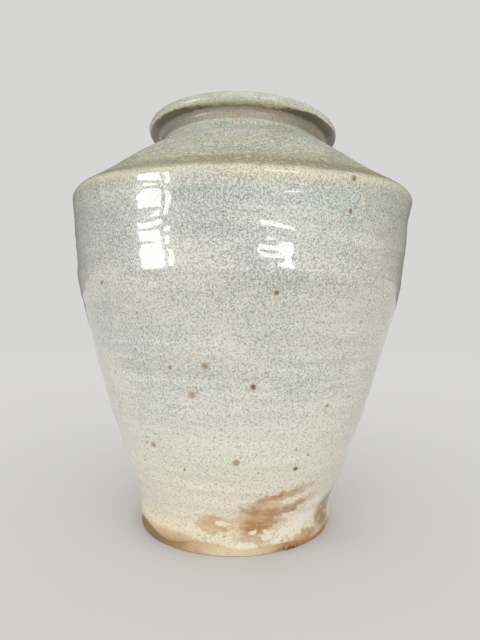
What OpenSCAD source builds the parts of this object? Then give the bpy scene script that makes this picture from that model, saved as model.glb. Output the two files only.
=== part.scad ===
// Stoneware vase with a broad shoulder, a short neck and a rolled lip.
// The pot is thrown in sections that are bevelled, scored and luted together,
// then glazed in coats that stop short of the bare foot.
// Millimetres, +Z up. The pot stands on z = 0 and leans a little towards +X.
// Every outline is drawn upright, as [radius, height], and is leaned afterwards.

/* [Body] */
// Height of the pot along its own axis
height = 250; // [247:0.5:256]
// How far the fired pot leans from upright, in degrees
lean = 1.15; // [0:0.05:2]
// Radius of the straight band above the foot
foot_r = 61.2; // [58:0.2:64]
// Height where the foot's band ends and the wall opens out
foot_h = 18; // [15:1:22]
// Height of the seam between the lower and the upper wall
belly_z = 149; // [140:1:155]
// Radius at the belly seam
belly_r = 101.3; // [99:0.1:103]
// Largest radius, where the wall turns into the shoulder
shoulder_r = 105.8; // [105:0.1:107]
// Height where the wall turns into the shoulder
shoulder_z = 197; // [195:0.5:198]
// Slope of the shoulder from level, in degrees
shoulder_slope = 35.2; // [34:0.2:36]

/* [Neck and lip] */
// Radius of the neck
neck_r = 52; // [51.5:0.1:53]
// Largest radius of the rolled lip
lip_r = 59.9; // [58.5:0.1:61]
// Height of the rolled lip's edge
lip_h = 6.6; // [6:0.1:7]
// Radius of the mouth
mouth_r = 46; // [45:0.2:46.6]

/* [Clay] */
// Thickness of the wall with its glaze
wall_t = 8; // [7:0.1:8.4]
// Height of the clay floor's upper face
floor_top = 10; // [8.5:0.5:11]
// Height of the turned recess under the floor
recess_h = 3; // [2:0.5:3.5]
// Width of the ring that the pot stands on
foot_ring_w = 9; // [8:0.5:11]

/* [Glaze] */
// Thickness of the glaze coats
glaze_t = 0.8; // [0.5:0.1:1]
// Height of bare clay below the outer glaze
bare_h = 6; // [5:0.5:7]

/* [Hidden] */
$fn = 128;

clay_colour = "#b98d5e";
wall_colour = "#c6c5b8";
shoulder_colour = "#9a9b84";
lip_colour = "#a8a797";
liner_colour = "#b7b29c";

// A point and a whole curve that leave a towards b and arrive at c.
function bend(a, b, c, t) = (1 - t) * (1 - t) * a + 2 * t * (1 - t) * b + t * t * c;
function curve(a, b, c, steps) = [for (i = [0:steps]) bend(a, b, c, i / steps)];
// Part of an ellipse about c, with half sizes h, between two angles.
function turn(c, h, from, to, steps) = [
    for (i = [0:steps])
        let (angle = from + (to - from) * i / steps)
            c + [h[0] * cos(angle), h[1] * sin(angle)]
];
function part(list, from, to) = [for (i = [from:to]) list[i]];
function rest(list, from) = part(list, from, len(list) - 1);
function reversed(list) = [for (i = [len(list) - 1:-1:0]) list[i]];

// A path moved by d to its left. Up the outside, over the lip and down the
// inside, its left is always the clay.
function way(path, i) = path[min(i + 1, len(path) - 1)] - path[max(i - 1, 0)];
function left(v) = [-v[1], v[0]] / norm(v);
function inset(path, d) = [for (i = [0:len(path) - 1]) path[i] + d * left(way(path, i))];

// The outside. The lower wall opens out fast above the foot, slower above.
foot_band = [[foot_r, bare_h], [foot_r, bare_h + 6]];
swell_out = 0.54;
swell_up = 0.4;
lower_swell = [
    foot_r + swell_out * (belly_r - foot_r),
    foot_h + swell_up * (belly_z - foot_h)
];
lower_side = curve([foot_r, foot_h], lower_swell, [belly_r, belly_z], 24);
// The upper section stands a little proud of the lower one at their seam.
seam_step = [1, 5];
upper_start = [belly_r, belly_z] + seam_step;
upper_side = curve(upper_start, upper_start + [0, 18], [shoulder_r, shoulder_z], 10);
// The shoulder's edge is rounded between the wall and the slope.
edge_round = 2.4;
slope_way = [-cos(shoulder_slope), sin(shoulder_slope)];
edge_peak = [shoulder_r + 0.3, shoulder_z + edge_round];
edge_end = edge_peak + 1.5 * edge_round * slope_way;
edge_side = curve([shoulder_r, shoulder_z], edge_peak, edge_end, 8);
// The neck rises from the slope in a small fillet.
neck_fillet = 3;
neck_z = edge_end[1] + (edge_end[0] - neck_r) * tan(shoulder_slope);
neck_root = [neck_r, neck_z];
neck_top = neck_root + [-0.2, neck_fillet];
neck_side = curve(neck_root - neck_fillet * slope_way, neck_root, neck_top, 4);
// The lip flares from the neck, turns round its edge and is flat on top.
lip_round = 2.8;
lip_z = height - lip_h;
lip_under = curve(neck_top + [0.1, 1], [neck_r, lip_z - 0.6], [lip_r - lip_round - 0.5, lip_z], 6);
lip_edge = turn([lip_r - lip_round, height - lip_h / 2], [lip_round, lip_h / 2], -80, 90, 12);

// The inside. It follows the outside at the wall's thickness and rounds off
// each corner that the potter's fingers would.
mouth_round = 3;
mouth_side = turn([mouth_r + mouth_round, height - mouth_round - 0.3],
    [mouth_round, mouth_round], 90, 180, 6);
throat_r = mouth_r - 1.1;
throat_end = [throat_r, neck_z - 2];
throat_side = curve([mouth_r - 0.1, lip_z - 0.8], [throat_r, neck_z + 1], throat_end, 4);
slope_in = edge_end + wall_t * left(slope_way);
throat_run = (slope_in[0] - throat_r) / cos(shoulder_slope);
throat_corner = slope_in + throat_run * slope_way;
throat_flare = curve(throat_end, throat_corner, throat_corner - 6 * slope_way, 5);
upper_in = reversed(inset(upper_side, wall_t));
edge_in = curve(slope_in + 5 * slope_way, [shoulder_r - wall_t - 0.5, shoulder_z - 1.2], upper_in[3], 6);
lower_in = reversed(inset(lower_side, wall_t));
// The floor turns up into the lower wall a few steps above its foot.
fillet_start = 22;
floor_z = floor_top + glaze_t;
floor_corner = [foot_r - foot_ring_w - 2.5, floor_z];
floor_side = curve(lower_in[fillet_start], floor_corner, floor_corner - [16, 0], 8);

outside = concat(foot_band, lower_side, upper_side, rest(edge_side, 1), neck_side, lip_under, lip_edge);
inside = concat(mouth_side, throat_side, rest(throat_flare, 1), edge_in, rest(upper_in, 4),
    part(lower_in, 0, fillet_start - 1), floor_side, [[0, floor_z]]);
skin = concat(outside, inside);
clay = inset(skin, glaze_t);

// Stations along the skin where one section or coat ends and the next begins.
at_belly = len(foot_band) + len(lower_side) - 1;
at_edge = at_belly + len(upper_side);
at_slope = at_edge + len(edge_side) - 1;
at_neck = at_slope + 1;
at_root = at_neck + 2;
at_lip = at_neck + len(neck_side);
at_mouth = len(outside) + len(mouth_side);
at_throat = at_mouth + 3;
at_flare = at_mouth + len(throat_side) + len(throat_flare) - 2;
at_edge_in = at_flare + 5;
// The belly seam drops two stations from its outer edge to its inner one.
at_belly_in = at_flare + len(edge_in) + len(upper_in) - 2;
at_floor = len(skin) - 5;

// The foot's inner face opens downwards, as a turning tool leaves it.
foot_draft = 0.07;
below = -3;
function ring_in(z) = [foot_r - glaze_t - foot_ring_w + foot_draft * (bare_h - z), z];

// The middle of the leaned pot, which the origin is put under.
reach_right = max([for (p = skin) p[1] * sin(lean) + p[0] * cos(lean)]);
reach_left = min([for (p = skin) p[1] * sin(lean) - p[0] * cos(lean)]);
middle = (reach_right + reach_left) / 2;

module thrown(outline) {
    translate([-middle, 0, 0])
        rotate([0, lean, 0])
            rotate_extrude()
                polygon(outline);
}

// A coat of glaze between two stations of the skin.
module coat(from, to) {
    thrown(concat(part(skin, from, to), reversed(part(clay, from, to))));
}

// A thrown section between two outer stations and two inner ones.
module section(from, to, in_from, in_to) {
    thrown(concat(part(clay, from, to), part(clay, in_from, in_to)));
}

module foot_ring() {
    color(clay_colour)
        difference() {
            thrown([ring_in(below), [foot_r - glaze_t, below], clay[0], ring_in(bare_h)]);
            translate([-height, -height, -height])
                cube([2 * height, 2 * height, height]);
        }
}

module base_floor() {
    color(clay_colour)
        thrown(concat([[0, recess_h], ring_in(recess_h), ring_in(bare_h)], rest(clay, at_floor)));
}

module lower_wall() {
    color(clay_colour)
        thrown(concat(part(clay, 0, at_belly), part(clay, at_belly_in, at_floor), [ring_in(bare_h)]));
}

module upper_wall() {
    color(clay_colour)
        section(at_belly, at_edge, at_edge_in, at_belly_in);
}

module shoulder() {
    color(clay_colour)
        section(at_edge, at_neck, at_flare, at_edge_in);
}

module neck_collar() {
    color(clay_colour)
        section(at_neck, at_lip, at_throat, at_flare);
}

module rolled_lip() {
    color(clay_colour)
        thrown(part(clay, at_lip, at_throat));
}

module wall_glaze() {
    color(wall_colour)
        coat(0, at_slope);
}

module shoulder_glaze() {
    color(shoulder_colour)
        coat(at_slope, at_root);
}

module lip_glaze() {
    color(lip_colour)
        coat(at_root, at_flare);
}

module liner_glaze() {
    color(liner_colour)
        coat(at_flare, len(skin) - 1);
}

foot_ring();
base_floor();
lower_wall();
upper_wall();
shoulder();
neck_collar();
rolled_lip();
wall_glaze();
shoulder_glaze();
lip_glaze();
liner_glaze();
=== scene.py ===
"""A thrown stoneware vase in ash glaze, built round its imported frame, and the studio it stands in.

Lengths are metres and +Z is up. The pot is drawn upright as one path of radius and height, which climbs
the outside, crosses the lip and goes down the inside. Stretches of the path are swept round the axis,
made a little uneven as a thrown pot is, levelled at the foot, and leaned as the pot leans.
"""

import math

import bpy
import numpy as np
from bpy.props import FloatProperty, FloatVectorProperty, IntProperty, PointerProperty
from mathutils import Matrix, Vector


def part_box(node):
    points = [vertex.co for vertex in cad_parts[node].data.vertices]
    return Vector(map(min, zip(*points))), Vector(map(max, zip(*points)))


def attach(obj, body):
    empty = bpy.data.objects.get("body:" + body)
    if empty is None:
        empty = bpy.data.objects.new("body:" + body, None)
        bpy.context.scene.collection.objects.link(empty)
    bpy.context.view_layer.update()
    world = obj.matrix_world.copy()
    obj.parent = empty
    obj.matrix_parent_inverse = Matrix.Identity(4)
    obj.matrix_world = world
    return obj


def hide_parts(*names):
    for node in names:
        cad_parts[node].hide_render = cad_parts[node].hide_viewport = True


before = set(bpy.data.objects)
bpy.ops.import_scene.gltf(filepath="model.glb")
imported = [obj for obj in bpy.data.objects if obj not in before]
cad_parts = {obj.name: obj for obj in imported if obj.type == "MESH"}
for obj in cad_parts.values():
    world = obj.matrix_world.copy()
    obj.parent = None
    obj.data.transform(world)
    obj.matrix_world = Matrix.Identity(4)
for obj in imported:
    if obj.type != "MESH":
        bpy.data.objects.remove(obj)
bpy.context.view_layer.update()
WALL_LOW, WALL_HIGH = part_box("wall_glaze")
BODY = "root"
FULL_TURN = 2 * math.pi

bl_info = {
    "name": "Stoneware vase",
    "version": (1, 0, 0),
    "blender": (4, 5, 0),
    "location": "3D View > Sidebar > Vase",
    "description": "Builds a thrown and glazed stoneware vase, and the studio it stands in",
    "category": "Add Mesh",
}


def paint(red, green, blue):
    """A colour picked on a 0 to 255 display scale, as the linear colour that shaders take."""
    return tuple(((part / 255 + 0.055) / 1.055) ** 2.4 for part in (red, green, blue))


def length(name, default, description):
    """A setting in metres."""
    return FloatProperty(name=name, default=default, description=description, unit="LENGTH", precision=5)


def angle(name, degrees, description):
    """A setting shown in degrees and kept in radians."""
    return FloatProperty(name=name, default=math.radians(degrees), description=description, unit="ROTATION")


def colour(name, default, description):
    """A colour setting."""
    return FloatVectorProperty(
        name=name, default=default, description=description, subtype="COLOR", min=0, max=1
    )


# ---------------------------------------------------------------- sizes and colours


class PotShape(bpy.types.PropertyGroup):
    """The driving sizes of the pot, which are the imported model's own."""

    height: length("Height", 0.25, "Height along the pot's axis")
    lean: angle("Lean", 1.15, "How far the pot leans")
    foot_radius: length("Foot radius", 0.0612, "Radius of the band above the foot")
    foot_height: length("Foot height", 0.018, "Where the wall opens out")
    belly_height: length("Belly height", 0.149, "Height of the seam between the lower and upper wall")
    belly_radius: length("Belly radius", 0.1013, "Radius at the belly seam")
    shoulder_radius: length(
        "Shoulder radius", round((WALL_HIGH.x - WALL_LOW.x) / 2, 4), "Largest radius of the pot"
    )
    shoulder_height: length("Shoulder height", 0.197, "Where the wall turns into the shoulder")
    shoulder_slope: angle("Shoulder slope", 35.2, "Slope of the shoulder from level")
    neck_radius: length("Neck radius", 0.052, "Radius of the neck")
    lip_radius: length("Lip radius", 0.0599, "Largest radius of the lip")
    lip_height: length("Lip height", 0.0066, "Height of the lip's edge")
    mouth_radius: length("Mouth radius", 0.046, "Radius of the mouth")
    wall: length("Wall", 0.008, "Thickness of the wall with its glaze")
    floor_height: length("Floor height", 0.01, "Height of the clay floor's upper face")
    recess: length("Recess", 0.003, "Height of the turned recess under the floor")
    ring_width: length("Ring width", 0.009, "Width of the foot ring")
    glaze: length("Glaze", 0.0008, "Thickness of the glaze coats")
    bare_height: length("Bare height", 0.006, "Height of the clay foot ring")
    glaze_line: length("Glaze line", 0.0045, "Height at which the outer glaze stops")


class PotHand(bpy.types.PropertyGroup):
    """The unevenness that throwing, joining and firing leave."""

    columns: IntProperty(name="Columns", default=384, min=48, description="Columns round each coat")
    ring_depth: length("Ring depth", 0.0001, "Depth of the throwing rings outside")
    ring_pitch: length("Ring pitch", 0.0092, "Rise of one throwing ring")
    inner_depth: length("Inner ring depth", 0.0005, "Depth of the finger rings inside")
    swell: length("Swell", 0.0003, "Depth of the broad waves")
    lip_tilt: angle("Lip tilt", 0.9, "How far the lip tilts to the side beyond the lean")
    lip_lift: angle("Lip lift", 1.4, "How far the lip tilts up at the front")
    slack_neck: length("Slack neck", 0.0016, "How far the shoulder sinks at the neck, on one side")
    full_edge: length("Full edge", 0.0018, "Extra clay at the shoulder's edge on one side")
    slack_slope: length("Slack slope", 0.0013, "Sag of the shoulder on the other side")
    front_sag: length("Front sag", 0.0035, "How far the shoulder's edge sags at the front")
    line_wander: length("Line wander", 0.0011, "How far the glaze line wanders up and down")


class PotColours(bpy.types.PropertyGroup):
    """The main colours of the clay and the glazes."""

    clay: colour("Clay", paint(188, 150, 104), "Bare fired clay")
    toasted: colour("Toasted clay", paint(168, 116, 66), "Clay and thin glaze toasted by the flame")
    speck: colour("Speck", paint(66, 66, 63), "Fine iron specks in the wall's glaze")
    iron: colour("Iron", paint(92, 60, 38), "Larger iron spots")
    halo: colour("Halo", paint(180, 150, 114), "Tan halo of an iron spot")
    ochre: colour("Ochre", paint(178, 160, 108), "Ochre ash band above the shoulder's edge")
    slip: colour("Slip", paint(236, 231, 214), "White slip brushed on near the foot")
    rust: colour("Rust", paint(202, 162, 130), "Rusty blush on the neck")
    liner: colour("Liner", paint(176, 170, 148), "Satin glaze inside")


class StudioSetup(bpy.types.PropertyGroup):
    """Where the camera stands, and how strong the light is."""

    camera_x: length("Camera x", -0.0008, "Camera's place across")
    camera_distance: length("Camera distance", 0.318, "Camera's distance from the origin")
    camera_height: length("Camera height", 0.1272, "Camera's height above the floor")
    lens: FloatProperty(name="Lens", default=27, description="Focal length of the camera in millimetres")
    sky: FloatProperty(name="Sky", default=0.82, description="Strength of the light from all round")
    front: FloatProperty(name="Front", default=1.15, description="Extra light from the front")
    back: FloatProperty(name="Back", default=0.2, description="Extra light from behind")
    gloss: FloatProperty(name="Gloss", default=0.18, description="Brightness of the room in reflections")
    window: FloatProperty(name="Window", default=11, description="Brightness of the window's panes")
    lamp: FloatProperty(name="Lamp", default=11, description="Brightness of the lamp in front")


# ---------------------------------------------------------------- the pot's path


def at(radius, height):
    """A point of the pot's outline."""
    return np.array([radius, height])


def bend(start, towards, end, steps):
    """A curve that leaves start towards a second point and arrives at end: the quadratic blend of the
    three."""
    share = np.linspace(0, 1, steps + 1)[:, None]
    return (1 - share) ** 2 * start + 2 * share * (1 - share) * towards + share**2 * end


def turn(centre, half, first, last, steps):
    """Part of an ellipse with the given half sizes, between two angles in degrees."""
    way = np.radians(np.linspace(first, last, steps + 1))[:, None]
    return centre + np.hstack([half[0] * np.cos(way), half[1] * np.sin(way)])


def left_of(points):
    """At each point of a path, the unit vector to its left: its direction turned by a quarter."""
    way = np.gradient(points, axis=0)
    way = way / np.linalg.norm(way, axis=1)[:, None]
    return np.stack([-way[:, 1], way[:, 0]], axis=1)


# How far the upper wall's start stands out from the belly seam, and above it.
SEAM_STEP = (0.001, 0.005)
# Roundings of the shoulder's edge, of the neck's root and of the lip's edge.
EDGE_ROUND = 0.0024
NECK_FILLET = 0.003
LIP_ROUND = 0.0026
# Radius of the mouth's inner edge.
MOUTH_ROUND = 0.003


def up_slope(s):
    """The unit vector up the shoulder towards the neck."""
    return at(-math.cos(s.shoulder_slope), math.sin(s.shoulder_slope))


def outer_stretches(s):
    """The outside of the pot, from the glaze line to the top of the lip, as named stretches."""
    lower_start, belly = at(s.foot_radius, s.foot_height), at(s.belly_radius, s.belly_height)
    edge = at(s.shoulder_radius, s.shoulder_height)
    upper_start = belly + SEAM_STEP
    peak = edge + (0.0003, EDGE_ROUND)
    slope_start = peak + 1.5 * EDGE_ROUND * up_slope(s)
    rise = (slope_start[0] - s.neck_radius) * math.tan(s.shoulder_slope)
    root = at(s.neck_radius, slope_start[1] + rise)
    neck_top = root + (-0.0002, NECK_FILLET)
    lip_half = 0.46 * s.lip_height
    lip_bottom = s.height - 2 * lip_half
    flange = at(s.lip_radius - 0.0033, lip_bottom)
    return {
        "foot": np.array([at(s.foot_radius, s.glaze_line), at(s.foot_radius, 2 * s.bare_height)]),
        "lower": bend(lower_start, lower_start + (belly - lower_start) * (0.54, 0.4), belly, 40),
        "upper": bend(upper_start, upper_start + (0, 0.018), edge, 30),
        "edge": bend(edge, peak, slope_start, 12)[1:],
        "neck": bend(root - NECK_FILLET * up_slope(s), root, neck_top, 8),
        "under": bend(neck_top + (0.0001, 0.001), at(s.neck_radius, lip_bottom - 0.0006), flange, 10),
        "lip": turn(at(s.lip_radius - LIP_ROUND, s.height - lip_half), (LIP_ROUND, lip_half), -80, 90, 20),
    }


def inner_stretches(s, outside):
    """The inside of the pot, from the mouth to the middle of the floor. It follows the outside at the
    wall's thickness and rounds off each corner."""
    way, slope_start = up_slope(s), outside["edge"][-1]
    neck_height = outside["neck"][-1][1] - NECK_FILLET
    throat = s.mouth_radius - 0.0011
    throat_end = at(throat, neck_height - 0.002)
    slope_in = slope_start + s.wall * at(-way[1], way[0])
    throat_corner = slope_in + (slope_in[0] - throat) / math.cos(s.shoulder_slope) * way
    upper_in = (outside["upper"] + s.wall * left_of(outside["upper"]))[::-1]
    lower_in = (outside["lower"] + s.wall * left_of(outside["lower"]))[::-1]
    edge_corner = at(s.shoulder_radius - s.wall - 0.0005, s.shoulder_height - 0.0012)
    floor = s.floor_height + s.glaze
    floor_corner = at(s.foot_radius - s.ring_width - 0.0025, floor)
    throat_start = at(s.mouth_radius - 0.0001, s.height - s.lip_height - 0.0008)
    mouth_centre = at(s.mouth_radius + MOUTH_ROUND, s.height - 0.0033)
    return {
        "mouth": turn(mouth_centre, (MOUTH_ROUND, MOUTH_ROUND), 90, 180, 10),
        "throat": bend(throat_start, at(throat, neck_height + 0.001), throat_end, 8),
        "flare": bend(throat_end, throat_corner, throat_corner - 0.006 * way, 8)[1:],
        "edge_in": bend(slope_in + 0.005 * way, edge_corner, upper_in[9], 10),
        "upper_in": upper_in[10:],
        "lower_in": lower_in[:36],
        "floor": bend(lower_in[36], floor_corner, floor_corner - (0.016, 0), 14),
        "middle": np.array([at(0, floor)]),
    }


def eased(points, reach, step):
    """The same path with its corners eased: an average over a bell of the given reach. The path is carried
    on in a straight line past both ends so that they stay where they are."""
    half = int(3 * reach / step)
    weight = np.exp(-0.5 * (np.arange(-half, half + 1) * step / reach) ** 2)
    weight /= weight.sum()
    before = 2 * points[0] - points[half:0:-1]
    after = 2 * points[-1] - points[-2 : -half - 2 : -1]
    carried = np.vstack([before, points, after])
    return np.stack([np.convolve(carried[:, i], weight, mode="valid") for i in (0, 1)], axis=1)


def between(where, run, values):
    """Rows of values at places along a run."""
    return np.stack([np.interp(where, run, values[:, i]) for i in range(values.shape[1])], axis=1)


class PotPath:
    """The finished surface as one smooth path. A run is a distance along it. start and end give the run at
    the ends of each named stretch."""

    STEP = 0.0002

    def __init__(self, shape):
        outside = outer_stretches(shape)
        stretches = {**outside, **inner_stretches(shape, outside)}
        corners = np.vstack(list(stretches.values()))
        distance = np.append(0, np.cumsum(np.linalg.norm(np.diff(corners, axis=0), axis=1)))
        self.run = np.linspace(0, distance[-1], int(distance[-1] / self.STEP))
        rough = between(self.run, distance, corners)
        self.start, self.end, count = {}, {}, 0
        for name, points in stretches.items():
            self.start[name] = distance[count]
            count += len(points)
            self.end[name] = distance[count - 1]
        # Walls are eased more than the edge, the neck and the lip, which stay crisp.
        walls = self.within("foot", "upper", 0.004) + self.within("upper_in", "lower_in", 0.004)
        walls = walls[:, None]
        self.points = walls * eased(rough, 0.0025, self.STEP) + (1 - walls) * eased(rough, 0.0005, self.STEP)
        self.left = left_of(self.points)
        bending = np.linalg.norm(np.gradient(self.left, axis=0), axis=1) / self.STEP
        self.detail = np.cumsum(1 + 0.006 * bending)

    def within(self, first, last, gap):
        """1 on the stretches from first to last, easing to 0 over a gap inside each end."""
        rise = np.clip((self.run - self.start[first]) / gap, 0, 1)
        return rise * np.clip((self.end[last] - self.run) / gap, 0, 1)

    def part_way(self, name, share):
        """The run at a share of the way along a stretch."""
        return self.start[name] + share * (self.end[name] - self.start[name])

    def reaching(self, height):
        """The run at which the outer wall reaches a height."""
        wall = self.run < self.end["upper"]
        return np.interp(height, self.points[wall, 1], self.run[wall])

    def rows(self, first, last, count):
        """Runs from first to last, closer together where the path bends."""
        low, high = np.interp([first, last], self.run, self.detail)
        return np.interp(np.linspace(low, high, count), self.detail, self.run)

    def at(self, runs, depth=0.0):
        """Points at these runs, moved into the clay by depth."""
        return between(runs, self.run, self.points) + depth * between(runs, self.run, self.left)


# ---------------------------------------------------------------- unevenness


def waves(along, facing, seed, length_near, turns=5, count=10):
    """Smooth wandering between about -1 and 1: a sum of sine waves, each with a whole number of turns
    round the pot and a wavelength along it near the given length."""
    draw = np.random.default_rng(seed)
    total = np.zeros(np.broadcast(along, facing).shape)
    for _ in range(count):
        around = draw.integers(-turns, turns + 1)
        pitch = length_near * draw.uniform(0.6, 1.8)
        total += np.sin(FULL_TURN * along / pitch + around * facing + draw.uniform(0, FULL_TURN))
    return total / math.sqrt(count)


def bell(distance, reach):
    """1 at no distance, falling off as a bell."""
    return np.exp(-0.5 * (distance / reach) ** 2)


def step_up(value, low, high):
    """0 below low and 1 above high, smoothly."""
    share = np.clip((value - low) / (high - low), 0, 1)
    return share * share * (3 - 2 * share)


def turned_from(facing, degrees):
    """The angle from a place so many degrees to the right of the front, the short way round."""
    return (facing - math.radians(degrees) + math.pi) % FULL_TURN - math.pi


# Drips of thick glaze under the shoulder's edge: degrees to the right of the front, then the height of
# the end, the length, the half width and the thickness in millimetres.
DRIPS = (
    (34.5, 179, 8, 1.9, 1.2),
    (38, 176, 5, 1.5, 0.45),
    (31, 189, 5, 1.6, 0.5),
    (97, 171, 20, 2.2, 0.8),
    (128, 183, 10, 2.0, 0.7),
    (176, 165, 26, 2.4, 0.9),
    (183, 178, 12, 1.9, 0.6),
    (231, 187, 7, 2.0, 0.6),
    (262, 174, 18, 2.3, 0.8),
    (318, 188, 6, 1.9, 0.4),
)


# Single throwing ridges: height, how far each stands out, and reach, in millimetres, then the middle and
# spread of its stretch round the pot in degrees to the right of the front.
RIDGES = (
    (170, 0.16, 2.2, -30, 22),
    (186, 0.22, 3.5, -30, 22),
    (177, 0.12, 2.5, 120, 60),
    (149, 1.0, 3.2, 14, 20),
    (134, -0.2, 3.5, 0, 90),
    (115, 0.15, 3, -150, 70),
    (62, 0.18, 3.5, 0, 60),
    (30, -0.15, 3, 160, 90),
)


# The three kinds of relief below take the same values, whether or not they use them all.


def thrown_relief(hand, run, radius, height, facing):
    """How far the thrown clay stands out from its plain path outside: spiral throwing rings whose depth
    wanders, and broad swells."""
    depth = 0.65 + 0.35 * waves(height, facing, 12, 0.06, turns=3)
    wander = waves(height, facing, 11, 0.05, turns=2)
    rings = np.sin(FULL_TURN * height / hand.ring_pitch + facing + 1.3 * wander)
    rings = rings * depth * step_up(height, 0.02, 0.035) * (1 - step_up(height, 0.17, 0.192))
    for level, out, reach, middle, spread in RIDGES:
        ridge = bell(height * 1000 - level - 1.2 * wander, reach)
        ridge = ridge * bell(turned_from(facing, middle), math.radians(spread))
        rings = rings + out / 1000 / hand.ring_depth * ridge
    swells = waves(height, facing, 13, 0.028, turns=3) * (0.25 + 0.75 * step_up(height, 0.008, 0.03))
    swells = swells * (1 - 0.6 * step_up(height, 0.232, 0.24))
    return hand.ring_depth * rings + hand.swell * swells


def glaze_relief(hand, run, radius, height, facing):
    """How far the glaze stands out from the thrown clay's surface: slow unevenness and drips. Each drip
    is a bell across its width, long above its rounded end and short below it."""
    total = 0.00006 * waves(height + 0.2 * radius, facing, 14, 0.009, turns=24, count=16)
    for degrees, end, long, half, thick in DRIPS:
        across = turned_from(facing, degrees) * radius * 1000 / half
        above = height * 1000 - end
        along = np.where(above > 0, above / long, above / 1.6)
        total = total + thick * 0.001 * np.exp(-0.5 * across**2 - 0.5 * np.abs(along) ** 2.4)
    return total


def finger_relief(hand, run, radius, height, facing):
    """The rings that fingers leave inside, fading out at the mouth and in the middle of the floor."""
    rings = np.sin(FULL_TURN * run / 0.0115 + facing + waves(run, facing, 21, 0.08, turns=2))
    share = (1 - step_up(height, 0.215, 0.23)) * step_up(radius, 0.004, 0.03)
    return (hand.inner_depth * rings + 0.0002 * waves(run, facing, 22, 0.03)) * share


def settle(points, s, hand):
    """Makes upright points uneven as a whole, levels the foot and leans the pot. The shoulder's edge is
    fuller on the right and its slope slacker on the left, the lip is slightly oval, the shoulder sags
    at the front edge and where the neck starts, the glaze line wanders, and the lip tilts to the right
    and up at the front. Below the foot ring's top the height is eased so that the pot stands flat."""
    x, y, z = points[..., 0], points[..., 1], points[..., 2]
    radius = np.hypot(x, y) + 1e-9
    right, left = np.clip(x / radius, 0, 1) ** 2, np.clip(-x / radius, 0, 1) ** 2
    outer = step_up(radius, 0.05, 0.08)
    push = hand.full_edge * right * bell(z - 0.1985, 0.0055) * outer
    drop = hand.slack_slope * left * bell(z - 0.209, 0.009) * outer
    oval = 0.011 * (x / radius) ** 2 * step_up(z, 0.238, 0.246)
    wide = 1 + oval + (0.75 * push - 0.5 * drop) / radius
    sink = bell(radius - 0.0535, 0.0075) * step_up(z, 0.225, 0.232) * (1 - step_up(z, 0.238, 0.2415))
    drop_neck = hand.slack_neck * sink * (1 - step_up(x / radius, 0.1, 0.8))
    sag = hand.front_sag * step_up(-y / radius, 0.6, 1) * bell(z - 0.2005, 0.012) * outer
    line = waves(0.0, np.arctan2(x, -y), 31, 1.0, turns=9, count=12)
    x, y, z = x * wide, y * wide, z + 0.65 * push - 0.85 * drop - drop_neck - sag
    z = z + hand.line_wander * line * step_up(z, 0.0012, s.glaze_line) * (1 - step_up(z, s.glaze_line, 0.014))
    z = z - (math.tan(hand.lip_tilt) * x + math.tan(hand.lip_lift) * y) * step_up(z, 0.226, 0.243)
    z = z + x * math.tan(s.lean) * np.clip(1 - z / s.bare_height, 0, 1)
    level, upright = math.sin(s.lean), math.cos(s.lean)
    return np.stack([x * upright + z * level - middle_shift(s), y, z * upright - x * level], -1)


def middle_shift(s):
    """How far the leaned pot's middle is from the middle of its foot. The origin is under the first."""
    points = np.vstack(list(outer_stretches(s).values()))
    climb, reach = points[:, 1] * math.sin(s.lean), points[:, 0] * math.cos(s.lean)
    return ((climb + reach).max() + (climb - reach).min()) / 2


# ---------------------------------------------------------------- meshes


class Outline:
    """A piece's cross-section: points, the way out of the surface at each, the run, how much of each
    relief every point takes, and the rows that are corners."""

    def __init__(self, path):
        self.path, self.rows, self.corners = path, [], []

    def add(self, points, out=None, runs=0.0, thrown=0.0, glazed=0.0, fingers=0.0, corners=()):
        """Adds points of the piece's own."""
        points = np.asarray(points, float)
        start = sum(len(r) for r in self.rows)
        self.corners += [start + i for i in corners]
        table = np.zeros((len(points), 8))
        table[:, :2] = points
        table[:, 2:4] = -left_of(points) if out is None else out
        for i, values in enumerate((runs, thrown, glazed, fingers)):
            table[:, 4 + i] = values
        self.rows.append(table)
        return self

    def follow(self, first, last, count, depth=0.0, glazed=0.0, thin=None):
        """Adds points along the path from one run to another at a depth in the clay. Both ends are corners.
        Outside, they take the relief of throwing, and inside, that of fingers. Where thin is a pair of
        lengths, the coat rolls off to the first one's depth over the second's run from its start."""
        runs = self.path.rows(min(first, last), max(first, last), count)
        runs = runs if last > first else runs[::-1]
        out = -between(runs, self.path.run, self.path.left)
        inside = step_up(runs, self.path.end["mouth"], self.path.end["throat"])
        points = self.path.at(runs, depth)
        if thin:
            rolled = np.clip(1 - np.abs(runs - first) / thin[1], 0, 1)[:, None]
            points = points - out * thin[0] * rolled**2
        return self.add(points, out, runs, 1 - inside, glazed, inside, corners=(0, count - 1))


def new_mesh(name, points, quads, triangles):
    """A smooth-shaded mesh from arrays of points and faces."""
    corners = np.concatenate([quads.ravel(), triangles.ravel()])
    sizes = np.repeat([4, 3], [len(quads), len(triangles)])
    mesh = bpy.data.meshes.new(name)
    mesh.vertices.add(len(points))
    mesh.vertices.foreach_set("co", points.astype(np.float32).ravel())
    mesh.loops.add(len(corners))
    mesh.loops.foreach_set("vertex_index", corners.astype(np.int32))
    mesh.polygons.add(len(sizes))
    mesh.polygons.foreach_set("loop_start", np.append(0, np.cumsum(sizes)[:-1]).astype(np.int32))
    mesh.update(calc_edges=True)
    mesh.shade_smooth()
    return mesh


def enclosed(points, quads, triangles):
    """Six times the volume that the faces enclose, from the tetrahedra they make with the origin."""
    faces = np.vstack([quads[:, [0, 1, 2]], quads[:, [0, 2, 3]], triangles])
    a, b, c = (points[faces[:, i]] for i in range(3))
    return np.einsum("ij,ij->", a, np.cross(b, c))


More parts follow.
